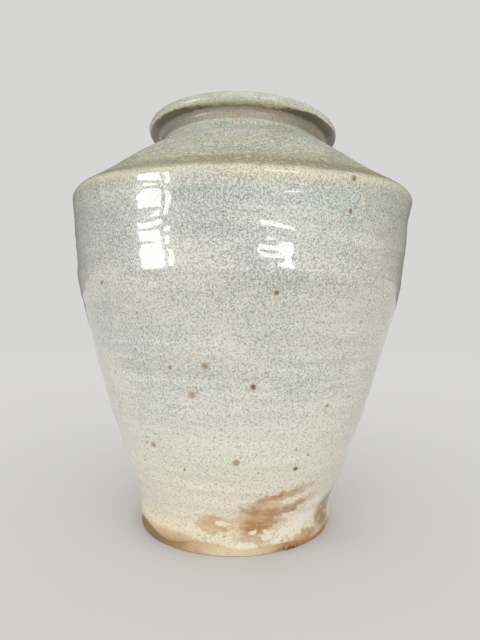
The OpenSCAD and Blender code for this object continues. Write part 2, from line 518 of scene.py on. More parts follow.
def sweep(name, outline, columns, closed=True, worn=None):
    """Sweeps an outline round the pot's axis. A point of the surface is the outline's point at that row,
    moved outwards by the relief there, at that column's angle from the front, then settled as the whole
    pot is. A closed outline makes a ring. An open one starts and ends near the axis, in two poles."""
    shape, hand = bpy.context.scene.pot_shape, bpy.context.scene.pot_hand
    rows = np.vstack(outline.rows)
    radius, height, out_r, out_z, run = (rows[:, i : i + 1] for i in range(5))
    facing = np.arange(columns)[None, :] * FULL_TURN / columns
    relief = np.zeros((len(rows), columns))
    for i, kind in enumerate((thrown_relief, glaze_relief, finger_relief)):
        relief += rows[:, 5 + i : 6 + i] * kind(hand, run, radius, height, facing)
    if worn:
        relief += worn(radius, height, facing)
    radius, height = radius + out_r * relief, height + out_z * relief
    grid = np.stack([radius * np.sin(facing), -radius * np.cos(facing), height + 0 * facing], -1)
    points = settle(grid, shape, hand).reshape(-1, 3)
    rings = np.arange(len(rows) * columns).reshape(-1, columns)
    lower, upper = (rings, np.roll(rings, -1, 0)) if closed else (rings[:-1], rings[1:])
    quads = np.stack([lower, np.roll(lower, -1, 1), np.roll(upper, -1, 1), upper], -1).reshape(-1, 4)
    triangles = np.zeros((0, 3), int)
    if not closed:
        ends = settle(np.array([[0, 0, rows[0, 1]], [0, 0, rows[-1, 1]]]), shape, hand)
        first, last = np.full(columns, len(points)), np.full(columns, len(points) + 1)
        points = np.vstack([points, ends])
        triangles = np.vstack(
            [
                np.stack([first, np.roll(rings[0], -1), rings[0]], -1),
                np.stack([last, rings[-1], np.roll(rings[-1], -1)], -1),
            ]
        )
    if enclosed(points, quads, triangles) < 0:
        quads, triangles = quads[:, ::-1], triangles[:, ::-1]
    mesh = new_mesh(name, points, quads, triangles)
    mark_corners(mesh, outline.corners, columns)
    piece = bpy.data.objects.new(name, mesh)
    bpy.context.scene.collection.objects.link(piece)
    return piece


def mark_corners(mesh, corners, columns):
    """Marks as sharp the edges that run round the pot along the outline's corner rows."""
    ends = np.zeros(len(mesh.edges) * 2, np.int32)
    mesh.edges.foreach_get("vertices", ends)
    row = ends.reshape(-1, 2) // columns
    sharp = (row[:, 0] == row[:, 1]) & np.isin(row[:, 0], corners)
    mesh.attributes.new("sharp_edge", "BOOLEAN", "EDGE").data.foreach_set("value", sharp)


def fit(piece, node, finish):
    """Puts a piece on the frame in place of its CAD node, with its finish."""
    piece.data.materials.append(finish)
    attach(piece, BODY)
    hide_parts(node)


# ---------------------------------------------------------------- finishes


class Value:
    """A socket of a node tree that Python expressions work on. Arithmetic on it adds Math nodes."""

    def __init__(self, recipe, socket):
        self.recipe, self.socket = recipe, socket

    def out(self, which):
        """Another output of the same node."""
        return Value(self.recipe, self.socket.node.outputs[which])

    def __add__(self, other):
        return self.recipe.math("ADD", self, other)

    def __sub__(self, other):
        return self.recipe.math("SUBTRACT", self, other)

    def __rsub__(self, other):
        return self.recipe.math("SUBTRACT", other, self)

    def __mul__(self, other):
        return self.recipe.math("MULTIPLY", self, other)

    def __truediv__(self, other):
        return self.recipe.math("DIVIDE", self, other)

    def __pow__(self, other):
        return self.recipe.math("POWER", self, other)

    __radd__ = __add__
    __rmul__ = __mul__


class Nodes:
    """A node tree that expressions add nodes to."""

    def __init__(self, tree):
        self.tree = tree
        tree.nodes.clear()

    def add(self, kind, settings=None, sockets=None):
        """Adds a node: its settings first, then a value or a link for each socket."""
        node = self.tree.nodes.new(kind)
        for name, value in (settings or {}).items():
            if name == "stops":
                self.set_stops(node.color_ramp, value)
            else:
                setattr(node, name, value)
        for name, value in (sockets or {}).items():
            socket = node.inputs[name]
            if isinstance(value, Value):
                self.tree.links.new(value.socket, socket)
            elif socket.type == "RGBA":
                socket.default_value = (*tuple(value)[:3], 1)
            else:
                socket.default_value = value
        return Value(self, node.outputs[0]) if len(node.outputs) else node

    @staticmethod
    def set_stops(ramp, stops):
        """Places a ramp's stops, given as positions and colours."""
        while len(ramp.elements) < len(stops):
            ramp.elements.new(1)
        for element, (position, shade) in zip(ramp.elements, stops):
            element.position = position
            element.color = (*shade, 1)

    def math(self, operation, first, second=0.0):
        return self.add("ShaderNodeMath", {"operation": operation}, {0: first, 1: second})

    def mix(self, base, other, share):
        """A colour, with as much of the other as share says."""
        mixed = self.add("ShaderNodeMix", {"data_type": "RGBA"}, {0: share, 6: base, 7: other})
        return mixed.out(2)

    def scaled(self, shade, share):
        """A colour made lighter or darker by a factor."""
        return self.add("ShaderNodeVectorMath", {"operation": "SCALE"}, {0: shade, "Scale": share})

    def fade(self, value, low, high):
        """0 at low and 1 at high, smoothly. low may be the larger."""
        limits = {0: value, 1: low, 2: high, 3: 0.0, 4: 1.0}
        return self.add("ShaderNodeMapRange", {"interpolation_type": "SMOOTHSTEP"}, limits)

    def near(self, value, middle, reach, flat=0.0):
        """1 where value is within flat of middle, fading to 0 at reach on either side."""
        return self.fade(self.math("ABSOLUTE", value - middle), reach, flat)


class Recipe(Nodes):
    """One finish, written as expressions. place is the point on the pot in millimetres with the lean taken
    out, and x, y, z, radius and facing, in degrees to the right of the front, come from it."""

    def __init__(self, name):
        self.material = bpy.data.materials.new(name)
        self.material.use_nodes = True
        super().__init__(self.material.node_tree)
        shape = bpy.context.scene.pot_shape
        shift = middle_shift(shape)
        back = {
            "Vector": self.add("ShaderNodeTexCoord").out("Object"),
            "Location": (shift * math.cos(shape.lean), 0, shift * math.sin(shape.lean)),
            "Rotation": (0, -shape.lean, 0),
        }
        upright = self.add("ShaderNodeMapping", sockets=back)
        self.place = self.add("ShaderNodeVectorMath", {"operation": "SCALE"}, {0: upright, "Scale": 1000})
        parts = self.add("ShaderNodeSeparateXYZ", sockets={0: self.place})
        self.x, self.y, self.z = (parts.out(i) for i in range(3))
        self.radius = self.math("SQRT", self.x * self.x + self.y * self.y)
        self.facing = self.math("ARCTAN2", self.x, 0 - self.y) * (180 / math.pi)

    def stretched(self, level, upright=1.0):
        """The place with its directions shrunk, so that patterns on it stretch."""
        return self.add(
            "ShaderNodeVectorMath", {"operation": "MULTIPLY"}, {0: self.place, 1: (level, level, upright)}
        )

    def noise(self, size, detail=2.0, rough=0.5, place=None):
        """Noise with features of about this size in millimetres, around 0.5."""
        sockets = {"Vector": place or self.place, "Scale": 1 / size, "Detail": detail, "Roughness": rough}
        return self.add("ShaderNodeTexNoise", sockets=sockets)

    def cells(self, size, place=None):
        """Scattered points, one to a cell of this size in millimetres: how far the nearest is, in
        millimetres, and three random numbers that belong to it."""
        found = self.add("ShaderNodeTexVoronoi", sockets={"Vector": place or self.place, "Scale": 1 / size})
        chance = self.add("ShaderNodeSeparateColor", sockets={0: found.out("Color")})
        return found.out("Distance") * size, *(chance.out(i) for i in range(3))

    def specks(self, size, smallest, largest, density, place=None):
        """Round specks of varied radius, one to a cell. density scales their radii."""
        away, chance, second, _ = self.cells(size, place)
        radius = self.math("MAXIMUM", (smallest + (largest - smallest) * chance) * density, 0.01)
        return self.fade(away, radius, radius * 0.4) * (0.4 + 0.6 * second)

    def grain(self, density, size=0.85):
        """Fine ragged specks that lie closer together where density is higher, from 0 to about 1.5."""
        fine = self.fade(self.noise(size, 2, 0.75), 0.385 + 0.13 * density, 0.31 + 0.13 * density)
        return self.math("MAXIMUM", fine * 0.6, self.specks(1.3 * size, -0.15, 0.82 * size, density))

    def finish(self, shade, roughness, relief, **constants):
        """Ends the recipe in a glossy surface. relief is the fine height in millimetres."""
        bump = self.add("ShaderNodeBump", sockets={"Height": relief, "Distance": 0.001, "Strength": 1.0})
        sockets = {"Base Color": shade, "Roughness": roughness, "Normal": bump}
        sockets.update({name.replace("_", " "): value for name, value in constants.items()})
        surface = self.add("ShaderNodeBsdfPrincipled", sockets=sockets)
        self.add("ShaderNodeOutputMaterial", sockets={"Surface": surface})
        return self.material


# Colours of the outer glaze by height in millimetres, on a display scale.
GLAZE_BY_HEIGHT = (
    (0, (200, 160, 110)),
    (8, (240, 225, 190)),
    (20, (235, 225, 205)),
    (70, (225, 225, 210)),
    (130, (210, 210, 200)),
    (155, (220, 220, 210)),
    (190, (210, 215, 205)),
    (200, (220, 215, 190)),
    (204, (205, 200, 175)),
    (230, (215, 220, 210)),
)

# The boldest iron spots: degrees to the right of the front, height, radius, and how dark the middle is.
# The others are scattered by a rule.
IRON_SPOTS = (
    (-45, 145, 1.5, 0.6),
    (10, 140, 1.5, 0.8),
    (-10, 105, 2, 0.3),
    (5, 95, 2, 0.9),
    (-15, 90, 2, 0.2),
    (-35, 60, 2, 0.2),
    (0, 55, 2.2, 0.2),
    (25, 50, 1.8, 1),
    (30, 180, 1.5, 0.7),
    (30, 195, 2, 0.7),
)

# Patches near the foot where the glaze is thin and ochre: degrees to the right of the front, height,
# half width in degrees, half height, and rise in millimetres to a degree.
THIN_PATCHES = (
    (18, 32.5, 17, 3.2, 0.33),
    (28, 26, 12, 2.2, 0.35),
    (12, 20, 12, 11, 0.1),
    (-10, 17, 9, 4.5, 0),
    (59, 15, 9, 13, 0),
    (36, 7, 12, 4, 0),
    (146, 14, 26, 9, 0.1),
    (-118, 20, 30, 6, -0.12),
)
# The same for slip brushed over them.
SLIP_PATCHES = (
    (38, 17, 12, 6, 0.85),
    (26, 9, 7, 3, 0.6),
    (17, 12, 3, 2, 0),
    (8, 15, 2.4, 1.2, 0),
    (-6, 17, 3, 1.4, 0),
    (3, 5, 9, 5, 0),
    (158, 12, 14, 5, 0.3),
)


def patches(r, table, facing, height, soft, hard):
    """Ovals on the wall, each on a line that climbs at its own rise."""
    total = None
    for degrees, middle, wide, tall, rise in table:
        across = facing - degrees
        level = (height - middle - across * rise) * (1 / tall)
        across = across * (1 / wide)
        oval = r.fade(across * across + level * level, soft, hard)
        total = oval if total is None else r.math("MAXIMUM", total, oval)
    return total


def iron_spots(r, density):
    """Two masks, the tan halo and the dark middle, of the spots in the table and of ones scattered all
    round, which are larger where density is higher. Their edges are ragged."""
    ragged = r.scaled(r.noise(2.2, 2).out("Color"), 1.1)
    place = r.add("ShaderNodeVectorMath", {"operation": "ADD"}, {0: r.place, 1: ragged})
    path = PotPath(bpy.context.scene.pot_shape)
    away, chance, dark, _ = r.cells(8, place)
    radius = r.math("MAXIMUM", (0.4 + 1.5 * chance**3) * density, 0.01)
    kept = r.fade(dark, 0.25, 0.3) * density
    halo = r.fade(away, radius, radius * 0.7) * kept
    core = r.fade(away, radius * 0.6, radius * 0.35) * kept * dark
    for degrees, height, radius, dark in IRON_SPOTS:
        point = path.at([path.reaching(height / 1000)])[0] * 1000
        way = math.radians(degrees)
        centre = (point[0] * math.sin(way) + 0.55, -point[0] * math.cos(way) + 0.55, height + 0.55)
        gap = r.add("ShaderNodeVectorMath", {"operation": "DISTANCE"}, {0: place, 1: centre}).out("Value")
        halo = r.math("MAXIMUM", halo, r.fade(gap, radius * 1.2, radius * 0.6))
        core = r.math("MAXIMUM", core, dark * r.fade(gap, radius * 0.85, radius * 0.3))
    return halo, core


def outer_glaze(name):
    """The ash glaze from the foot to the neck. It goes from cream to cool grey up the wall, with clouds
    and soft level bands, fine dark specks, iron spots, a pale line where it runs thin over the shoulder's
    edge, and ochre and grey-green ash on the shoulder."""
    r = Recipe(name)
    colours = bpy.context.scene.pot_colours
    cloud = r.noise(26, 3, 0.55, r.stretched(0.55))
    band = r.noise(6.0, 2, 0.5, r.stretched(0.06))
    fine_band = r.noise(2.2, 2, 0.5, r.stretched(0.05))
    mottle = r.noise(5.5, 3, 0.6, r.stretched(0.6))
    # The bands at the shoulder's edge dip with it at the front.
    edge_z = r.z + 5 * r.fade(r.y, -62, -104) * r.near(r.z, 200, 22, 8)
    off_edge = r.fade(r.math("ABSOLUTE", edge_z - 199), 3, 14) * r.fade(r.z, 8, 30)
    # The bare band is taller on the left, and the glaze reaches the base at the front.
    low = 3.5 * r.near(r.facing, 1, 10, 4) - 3.5 * r.fade(r.facing, -12, -28)
    level = edge_z + (cloud - 0.5) * off_edge * 9 + (mottle - 0.5) * 4 + low * r.fade(r.z, 15, 7)
    stops = [(height / 250, paint(*shade)) for height, shade in GLAZE_BY_HEIGHT]
    shade = r.add("ShaderNodeValToRGB", {"stops": stops}, {0: level / 250})

    # Cream and blue-grey clouds on the wall, and a warmer, darker right flank.
    on_wall = r.fade(r.z, 60, 100) * r.fade(r.z, 192, 184)
    cream = r.fade(cloud, 0.5, 0.62) * on_wall
    cool = r.fade(cloud, 0.5, 0.38) * on_wall
    shade = r.mix(shade, paint(220, 217, 198), cream * 0.35)
    shade = r.mix(shade, paint(206, 209, 206), cool * 0.35)
    flank = r.fade(r.facing, 22, 60) * r.fade(r.facing, 150, 95) * r.fade(r.z, 205, 190)
    shade = r.mix(shade, paint(206, 201, 176), flank * 0.45)

    # Painted shade: the wall is darker towards its left and right sides as seen from the front, from above
    # the foot to below the shoulder.
    edges = r.fade(r.math("ABSOLUTE", r.facing), 48, 66) * r.fade(r.y, 10, -10)
    shade = r.scaled(shade, 1 - 0.13 * edges * r.fade(r.z, 45, 75) * r.fade(r.z, 175, 145))

    # Ochre ash just above the shoulder's edge, in broken stretches.
    ochre_height = edge_z + (cloud - 0.5) * 8 + (mottle - 0.5) * 5
    ochre = r.near(ochre_height, 205, 4.5, 1.0) * (0.3 + 0.6 * r.fade(r.noise(45, 1), 0.42, 0.55))
    front = r.near(r.facing, 20, 40, 22)
    ochre = r.math("MAXIMUM", ochre, r.near(ochre_height, 205.5, 5, 1.5) * front)
    shade = r.mix(shade, tuple(colours.ochre), ochre * 0.62)
    green = r.fade(r.noise(16, 2, 0.5, r.stretched(0.6)), 0.45, 0.65) * r.fade(edge_z, 203, 208)
    shade = r.mix(shade, paint(170, 174, 142), green * 0.45)
    blush = r.fade(r.noise(15, 2), 0.56, 0.7) * r.near(edge_z, 199, 4, 1.5)
    shade = r.mix(shade, paint(214, 182, 148), blush * 0.5)

    # Paler streaks where the glaze ran.
    for degrees, end, long, half, thick in DRIPS:
        across = r.near((r.facing - (degrees + 180) % 360 + 180) * 1.8, 0, 1.6 * half, 0.6 * half)
        streak = across * r.fade(r.z, end - 1, end + 2) * r.fade(r.z, end + 2.6 * long, end + long)
        shade = r.mix(shade, paint(226, 220, 202), streak * 0.55 * thick)

    # Light and dark bands and mottling.
    light = 1.0 + 0.3 * (band - 0.5) + 0.2 * (fine_band - 0.5) + 0.18 * (mottle - 0.5)
    light = light + 0.28 * (r.noise(1.3, 2, 0.7) - 0.5)
    shade = r.scaled(shade, light)

    # Fine specks, thickest on the upper wall and shoulder and in the cool clouds.
    crowd = 0.5 + 0.25 * r.fade(r.z, 55, 100) + 0.3 * r.fade(r.z, 125, 150) + 0.15 * r.fade(edge_z, 202, 208)
    crowd = crowd * (1 - 0.4 * r.near(edge_z, 199.5, 3.5, 1))
    crowd = crowd + 0.9 * (mottle - 0.5) + 0.15 * cool - 0.2 * cream
    small = r.grain(crowd)
    large = r.specks(2.4, -0.4, 0.55, 1.0) * r.fade(edge_z, 198, 193)
    dark = r.math("MAXIMUM", small * 0.8, large)
    speck_shade = r.mix(tuple(colours.speck), paint(78, 78, 56), r.fade(edge_z, 198, 206))
    shade = r.mix(shade, speck_shade, dark * 0.98)
    rusty = r.specks(6, -0.9, 0.95, 1.0) * r.fade(r.z, 30, 50) * r.fade(r.z, 160, 130)
    shade = r.mix(shade, paint(120, 88, 58), rusty * 0.8)
    flecks = r.fade(r.noise(1.4, 1, 0.6, r.stretched(0.7)), 0.52, 0.66) * r.fade(edge_z, 199, 206)
    coarse = r.grain(0.9 + 0.9 * (mottle - 0.5), 1.5) * r.fade(edge_z, 200, 206)
    shade = r.mix(shade, paint(104, 102, 76), coarse * 0.6)
    shade = r.mix(shade, paint(232, 228, 196), flecks * (0.6 - 0.5 * dark))

    # Iron spots.
    spotted = (0.4 + 0.6 * r.fade(r.z, 150, 115)) * r.fade(r.z, 205, 195) * r.fade(r.z, 25, 40)
    halo, core = iron_spots(r, spotted)
    shade = r.mix(shade, tuple(colours.halo), halo * 0.85)
    shade = r.mix(shade, tuple(colours.iron), core * 0.95)

    # Thin ochre patches and brushed slip near the foot.
    brush = r.noise(9, 3, 0.6, r.stretched(0.35))
    facing = r.facing + 18 * (r.noise(6, 4, 0.65) - 0.5)
    height = r.z + 12 * (brush - 0.5) + 5 * (r.noise(2.5, 3, 0.6) - 0.5)
    thin = patches(r, THIN_PATCHES, facing, height, 1.9, 0.2)
    ochre_brown = r.mix(paint(206, 174, 122), paint(168, 124, 72), r.fade(brush, 0.4, 0.62))
    ochre_brown = r.mix(ochre_brown, paint(150, 108, 56), r.fade(r.facing, 42, 52))
    shade = r.mix(shade, ochre_brown, thin * (0.6 + 0.4 * r.fade(mottle, 0.3, 0.6)))
    slip = patches(r, SLIP_PATCHES, facing, height, 1.5, 0.6)
    slip = slip * r.fade(r.noise(3.5, 3, 0.6), 0.32, 0.5)
    shade = r.mix(shade, tuple(colours.slip), slip * 0.85)

    peel = r.noise(3.4, 3, 0.5)
    relief = 0.10 * peel + 0.05 * mottle - 0.03 * dark - 0.06 * core + 0.12 * slip - 0.08 * thin
    relief = relief + 0.09 * r.noise(1.1, 2) * r.fade(r.z, 200, 208)
    matt = r.fade(r.z, 200, 207)
    roughness = 0.3 + 0.16 * (r.noise(12, 2) - 0.4) + 0.12 * dark + 0.16 * thin + 0.2 * matt
    coat = 0.9 - 0.75 * matt
    return r.finish(shade, roughness, relief, Coat_Weight=coat, Coat_Roughness=0.03, Coat_IOR=1.5)


def lip_glaze(name):
    """The glaze of the neck, the lip and the throat: pale celadon on the lip, olive brown darkened by painted
    shadow under it, rusty blushes on the neck, and painted light that makes the neck lighter at the front."""
    r = Recipe(name)
    colours = bpy.context.scene.pot_colours
    hand = bpy.context.scene.pot_hand
    mottle = r.noise(3.2, 3, 0.6)
    tilted = math.tan(hand.lip_tilt) * r.x + math.tan(hand.lip_lift) * r.y
    level = r.z + tilted * r.fade(r.z, 226, 243) + (mottle - 0.5) * 1.2
    aside = r.fade(r.math("ABSOLUTE", r.facing), 12, 50)
    # The lower edge of the pale lip, where the painted shadow under it begins, rises towards the sides.
    edge = 243.8 + 1.1 * aside + 0.5 * aside * r.fade(r.facing, 0, 40)
    outside = r.fade(r.radius, 48.6, 50)
    celadon = r.mix(paint(206, 208, 200), paint(190, 192, 172), r.fade(r.noise(14, 2), 0.4, 0.62))
    edge_line = r.near(level - edge, 0.6, 1.2, 0.3) * outside
    shade = r.mix(celadon, paint(218, 211, 176), edge_line * 0.75)
    # Olive-brown glaze under the lip's edge, made dark as painted shadow there too.
    under = r.fade(level - edge, 0.3, -0.5) * outside
    shade = r.mix(shade, paint(96, 86, 64), under)
    neck = r.fade(r.radius + (mottle - 0.5) * 3, 55.2, 54) * r.fade(level, 244, 243) * outside
    stain = r.fade(r.noise(4.5, 4, 0.7, r.stretched(1, 0.6)), 0.4, 0.62)
    rust = r.near(r.facing, 8, 28, 12) + r.near(r.facing, 57, 14, 4) + 0.5 * r.near(r.facing, -27, 9, 3)
    rust = rust + r.fade(r.noise(22, 1), 0.52, 0.6) * r.fade(r.y, 0, 20)
    # Painted light: the neck is lighter at the front and darker towards the sides.
    neck_with_painted_light = r.mix(paint(184, 182, 168), paint(150, 146, 128), aside * 0.8)
    neck_shade = r.mix(neck_with_painted_light, tuple(colours.rust), stain * r.math("MINIMUM", rust, 1) * 0.8)
    shade = r.mix(shade, neck_shade, neck * 0.95)
    root = r.near(level, 237.2, 1.5, 0.3) * outside
    shade = r.mix(shade, paint(212, 210, 194), root * 0.8)
    small = r.grain(0.8 + 0.9 * (mottle - 0.5))
    shade = r.mix(shade, paint(96, 94, 76), small * 0.6)
    flecks = r.fade(r.noise(1.3, 1, 0.6), 0.54, 0.68)
    shade = r.mix(shade, paint(226, 224, 204), flecks * (0.45 - 0.4 * under))
    inner = r.fade(level, 246, 236) * (1 - outside)
    shade = r.mix(shade, tuple(colours.liner), inner)
    shade = r.scaled(shade, 0.9 + 0.2 * mottle)
    relief = 0.09 * r.noise(3.0, 3) + 0.02 * r.noise(0.9, 2) - 0.02 * small
    roughness = 0.28 + 0.14 * r.noise(8, 2) + 0.1 * under
    return r.finish(shade, roughness, relief, Coat_Weight=0.6, Coat_Roughness=0.05, Coat_IOR=1.5)


def liner_glaze(name):
    """The satin glaze inside, pooled a little darker in the finger rings and speckled."""
    r = Recipe(name)
    colours = bpy.context.scene.pot_colours
    band = r.noise(8, 2, 0.5, r.stretched(0.1))
    mottle = r.noise(9, 3, 0.6)
    shade = r.mix(tuple(colours.liner), paint(152, 142, 112), r.fade(band, 0.35, 0.65) * 0.6)
    small = r.specks(1.8, 0.05, 0.6, 0.6 + 0.8 * (mottle - 0.4))
    shade = r.mix(shade, paint(96, 84, 62), small * 0.7)
    shade = r.scaled(shade, 0.85 + 0.3 * mottle)
    relief = 0.08 * r.noise(2.6, 3) + 0.03 * band
    return r.finish(shade, 0.34 + 0.2 * (mottle - 0.5), relief, Coat_Weight=0.2, Coat_Roughness=0.2)


def bare_clay(name):
    """Fired clay without glaze: tan, toasted where the flame licked it, with grit, fine pits and the
    rings of the turning tool."""
    r = Recipe(name)
    colours = bpy.context.scene.pot_colours
    toast = r.fade(r.noise(17, 3, 0.6), 0.42, 0.62)
    shade = r.mix(tuple(colours.clay), tuple(colours.toasted), toast * 0.8)
    pale = r.near(r.facing, 0, 34, 4) * r.fade(r.y, -20, -40)
    shade = r.mix(shade, paint(234, 216, 182), pale * 0.75)
    # Painted shade: the clay is darker on the left.
    shade = r.mix(shade, paint(134, 104, 72), r.fade(r.facing, -18, -50) * 0.7)
    away, chance, second, _ = r.cells(1.5)
    grit = r.fade(away, 0.34, 0.18) * r.fade(chance, 0.45, 0.5)
    shade = r.mix(shade, paint(108, 76, 50), grit * second * 0.8)
    red = r.fade(r.math("ABSOLUTE", r.facing - 31), 9, 3) * r.fade(r.z, 4, 1.5) * r.fade(r.y, -30, -45)
    shade = r.mix(shade, paint(112, 44, 36), red * r.fade(r.noise(2.5, 2), 0.42, 0.56))
    grain = r.noise(0.7, 3, 0.6)
    shade = r.scaled(shade, 0.8 + 0.4 * grain)
    turned = r.math("SINE", r.radius * 5.5)
    relief = 0.16 * grain + 0.1 * grit + 0.03 * turned * r.fade(r.z, 4.5, 3.5)
    return r.finish(shade, 0.72 + 0.12 * grain, relief)


# ---------------------------------------------------------------- the pieces


class Builder:
    """What every operator of this file shares."""

    bl_options = {"REGISTER", "UNDO"}

    def settings(self, context):
        scene = context.scene
        return scene.pot_shape, scene.pot_hand, PotPath(scene.pot_shape)


# Where the floor meets the lower wall, as a share of the fillet between them.
FLOOR_SHARE = 0.55
# How far from the axis an open outline ends.
POLE = 0.0006


def clay_finish():
    """The bare clay's finish, made once."""
    return bpy.data.materials.get("bare clay") or bare_clay("bare clay")


def ring_inside(shape, height):
    """A point of the foot ring's inner face, which opens downwards."""
    lean_in = 0.07 * (shape.bare_height - height)
    return at(shape.foot_radius - shape.glaze - shape.ring_width + lean_in, height)


# Chips of the foot's outer edge: degrees to the right of the front, depth and half width in millimetres.
CHIPS = (
    (24, 1.1, 2.4),
    (71, 0.6, 1.5),
    (-37, 0.5, 1.8),
    (133, 0.8, 2.2),
    (-104, 0.7, 1.6),
    (201, 0.9, 2.6),
)


def worn_foot(radius, height, facing):
    """Small chips along the foot's outer edge, and a gritty surface above it."""
    outer = step_up(radius, 0.0595, 0.0602)
    total = 0.00005 * waves(height, facing, 41, 0.002, turns=90, count=24) * outer
    for degrees, deep, half in CHIPS:
        across = turned_from(facing, degrees) * 60 / half
        total = total - deep * 0.001 * bell(across, 1) * (1 - step_up(height, 0.0002, 0.0024)) * outer
    return total * step_up(height, -0.0001, 0.0002)


class VASE_OT_foot_ring(Builder, bpy.types.Operator):
    """Adds the turned clay ring that the pot stands on"""

    bl_idname = "vase.foot_ring"
    bl_label = "Foot ring"

    def execute(self, context):
        shape, hand, path = self.settings(context)
        outer = shape.foot_radius - shape.glaze
        rounding = 0.0007
        base = ring_inside(shape, 0)[0]
        inner_face = [ring_inside(shape, z) for z in np.linspace(shape.bare_height, rounding, 6)]
        inner_edge = turn(at(base + rounding, rounding), (rounding, rounding), 180, 270, 4)
        underside = [at(r, 0) for r in np.linspace(base + 2 * rounding, outer - 2 * rounding, 8)]
        outer_edge = turn(at(outer - rounding, rounding), (rounding, rounding), -90, 0, 6)
        outer_face = [at(outer, z) for z in np.linspace(0.0011, shape.bare_height, 12)]
        points = np.vstack([inner_face, inner_edge, underside, outer_edge, outer_face])
        outline = Outline(path).add(points, corners=(0, len(points) - 1))
        ring = sweep("turned_foot", outline, hand.columns, worn=worn_foot)
        fit(ring, "foot_ring", clay_finish())
        return {"FINISHED"}


class VASE_OT_floor(Builder, bpy.types.Operator):
    """Adds the thrown floor, with its turned recess underneath"""

    bl_idname = "vase.floor"
    bl_label = "Floor"

    def execute(self, context):
        shape, hand, path = self.settings(context)
        rim = ring_inside(shape, shape.recess)
        spiral = np.linspace(POLE, rim[0], 90)
        under = np.stack([spiral, np.full(90, shape.recess)], 1)
        turning = 0.00012 * np.sin(spiral * FULL_TURN / 0.0034) * step_up(rim[0] - spiral, 0, 0.006)
        under[:, 1] += turning
        side = [ring_inside(shape, z) for z in (0.004, 0.005, shape.bare_height)]
        outline = Outline(path).add(np.vstack([under, side]), corners=(89, 92))
        outline.follow(path.part_way("floor", FLOOR_SHARE), path.end["middle"] - POLE, 40, shape.glaze)
        floor = sweep("thrown_floor", outline, hand.columns // 2, closed=False)
        fit(floor, "base_floor", clay_finish())
        return {"FINISHED"}


class VASE_OT_sections(Builder, bpy.types.Operator):
    """Adds the thrown clay sections under the glaze: lower wall, upper wall, shoulder, neck and lip"""

    bl_idname = "vase.sections"
    bl_label = "Clay sections"

    def execute(self, context):
        shape, hand, path = self.settings(context)
        foot_out, foot_in = path.reaching(shape.bare_height), path.part_way("floor", FLOOR_SHARE)
        belly_out, belly_in = path.end["lower"], path.start["lower_in"] + 0.003
        edge_out, edge_in = path.end["upper"], path.part_way("edge_in", 0.6)
        neck_out, neck_in = path.start["neck"], path.end["flare"]
        lip_out, lip_in = path.start["under"], path.part_way("throat", 0.8)
        sections = (
            ("lower_section", "lower_wall", foot_out, belly_out, belly_in, foot_in),
            ("upper_section", "upper_wall", belly_out, edge_out, edge_in, belly_in),
            ("shoulder_section", "shoulder", edge_out, neck_out, neck_in, edge_in),
            ("neck_section", "neck_collar", neck_out, lip_out, lip_in, neck_in),
            ("lip_section", "rolled_lip", lip_out, lip_in, None, None),
        )
        for name, node, out_start, out_end, in_start, in_end in sections:
            outline = Outline(path).follow(out_start, out_end, 60, shape.glaze)
            if in_start is not None:
                outline.follow(in_start, in_end, 40, shape.glaze)
            if node == "lower_wall":
                outline.add([ring_inside(shape, shape.bare_height)], out=(0, -1))
            section = sweep(name, outline, hand.columns // 2)
            fit(section, node, clay_finish())
        return {"FINISHED"}


def glaze_coat(path, shape, first, last, rows, back_rows, thin=None):
    """The outline of a coat between two runs: along the finished surface, and back along the clay."""
    outline = Outline(path).follow(first, last, rows, 0, glazed=1, thin=thin)
    return outline.follow(last, first, back_rows, shape.glaze)


class VASE_OT_wall_glaze(Builder, bpy.types.Operator):
    """Adds the wall's glaze, from its line above the foot to the top of the shoulder's edge"""

    bl_idname = "vase.wall_glaze"
    bl_label = "Wall glaze"

    def execute(self, context):
        shape, hand, path = self.settings(context)
        thin = (0.92 * shape.glaze, 0.0018)
        outline = glaze_coat(path, shape, path.start["foot"], path.end["edge"], 236, 18, thin)
        coat = sweep("wall_coat", outline, hand.columns)
        fit(coat, "wall_glaze", outer_glaze("wall glaze"))
        return {"FINISHED"}


class VASE_OT_shoulder_glaze(Builder, bpy.types.Operator):
    """Adds the ash glaze of the shoulder's slope"""

    bl_idname = "vase.shoulder_glaze"
    bl_label = "Shoulder glaze"

    def execute(self, context):
        shape, hand, path = self.settings(context)
        outline = glaze_coat(path, shape, path.end["edge"], path.part_way("neck", 0.5), 110, 8)
        coat = sweep("shoulder_coat", outline, hand.columns)
        fit(coat, "shoulder_glaze", outer_glaze("shoulder glaze"))
        return {"FINISHED"}


def notched_lip(radius, height, facing):
    """A small crack across the lip's edge on the right."""
    along = bell(height - 0.2466, 0.0014) * step_up(radius, 0.056, 0.059)
    return -0.0007 * bell(turned_from(facing, 60) * 0.06, 0.0006) * along


class VASE_OT_lip_glaze(Builder, bpy.types.Operator):
    """Adds the glaze of the neck, over the lip and down the throat"""

    bl_idname = "vase.lip_glaze"
    bl_label = "Lip glaze"

    def execute(self, context):
        shape, hand, path = self.settings(context)
        outline = glaze_coat(path, shape, path.part_way("neck", 0.5), path.end["flare"], 130, 24)
        coat = sweep("lip_coat", outline, hand.columns, worn=notched_lip)
        fit(coat, "lip_glaze", lip_glaze("lip glaze"))
        return {"FINISHED"}


class VASE_OT_liner_glaze(Builder, bpy.types.Operator):
    """Adds the satin glaze that lines the inside down to the floor"""

    bl_idname = "vase.liner_glaze"
    bl_label = "Liner glaze"

    def execute(self, context):
        shape, hand, path = self.settings(context)
        middle = path.end["middle"] - POLE
        outline = Outline(path).follow(middle, path.end["flare"], 190, 0)
        outline.follow(path.end["flare"], middle, 40, shape.glaze)
        coat = sweep("liner_coat", outline, hand.columns, closed=False)
        fit(coat, "liner_glaze", liner_glaze("liner glaze"))
        return {"FINISHED"}


# ---------------------------------------------------------------- the studio


